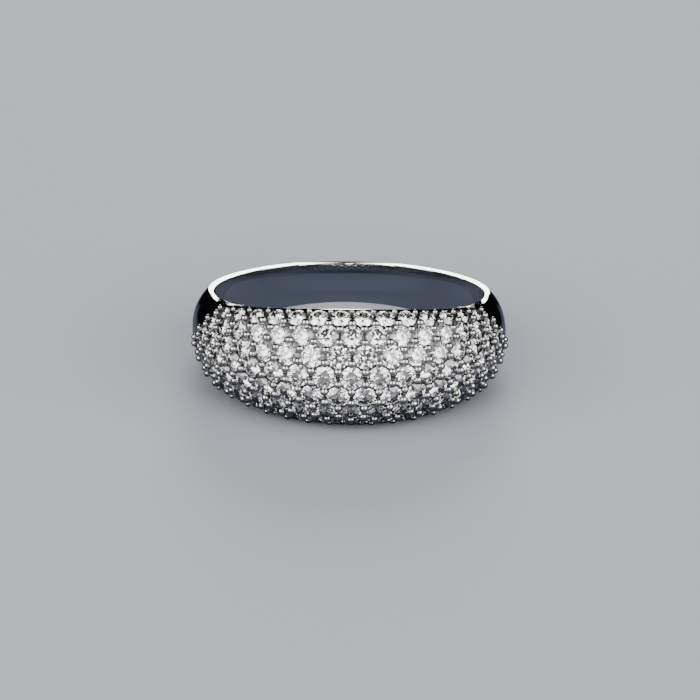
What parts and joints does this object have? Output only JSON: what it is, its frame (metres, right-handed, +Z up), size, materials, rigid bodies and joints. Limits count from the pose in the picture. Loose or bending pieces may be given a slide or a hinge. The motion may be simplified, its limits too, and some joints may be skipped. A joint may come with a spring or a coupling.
{
  "type": "pave dome ring",
  "caption": "Wide domed finger ring of polished white metal, its front half set with rows of small round brilliants held by raised grains, tapering to a narrow shank behind.",
  "frame": {"origin": "centre of the footprint of the ring as it lies on its side, on the surface under it", "axes": "+Z up, with the finger bore's axis within 8 degrees of it; -Y towards the stone-set front of the dome; +X to the right of it"},
  "size_m": [0.02, 0.0211, 0.0075],
  "materials": {
    "silver": "high polish, rhodium-plated sterling silver",
    "stone": "clear colourless cut stone, high polish"
  },
  "bodies": {
    "root": {"band": "silver", "pave_stones": "stone"}
  },
  "joints": []
}
